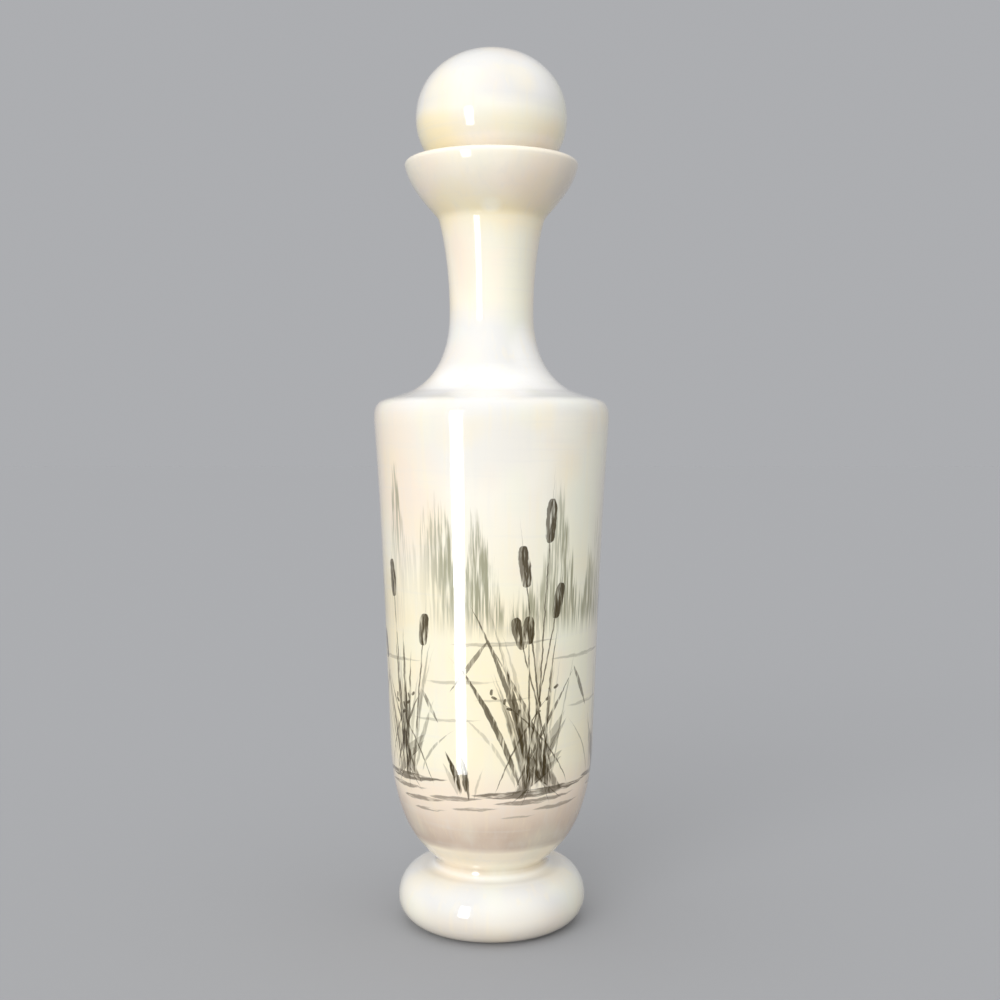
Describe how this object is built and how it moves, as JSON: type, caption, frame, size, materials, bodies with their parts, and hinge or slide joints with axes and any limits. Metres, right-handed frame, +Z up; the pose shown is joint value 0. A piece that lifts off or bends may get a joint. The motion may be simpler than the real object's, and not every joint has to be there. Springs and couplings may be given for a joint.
{
  "type": "decanter",
  "caption": "Tall glazed ceramic decanter on a round foot, with a waisted neck, a cup-shaped mouth and a ball stopper on a cork.",
  "frame": {"origin": "centre of the ring under the foot, on the surface that the decanter stands on", "axes": "+Z up along the bottle's axis; X and Y are level, and the bottle is round, so they are alike"},
  "size_m": [0.089, 0.089, 0.33],
  "materials": {
    "bottle_glaze": "ivory glaze with a faint mother-of-pearl lustre, high gloss",
    "ball_glaze": "ivory glaze with a faint mother-of-pearl lustre, high gloss",
    "cork": "natural cork, dull"
  },
  "bodies": {
    "bottle": {"bottle": "bottle_glaze"},
    "stopper": {"stopper_ball": "ball_glaze", "stopper_cork": "cork"}
  },
  "joints": [
    {"name": "stopper_lift", "type": "slide", "parent": "bottle", "child": "stopper", "axis": [0, 0, 1], "range_m": [0, 0.06]}
  ]
}
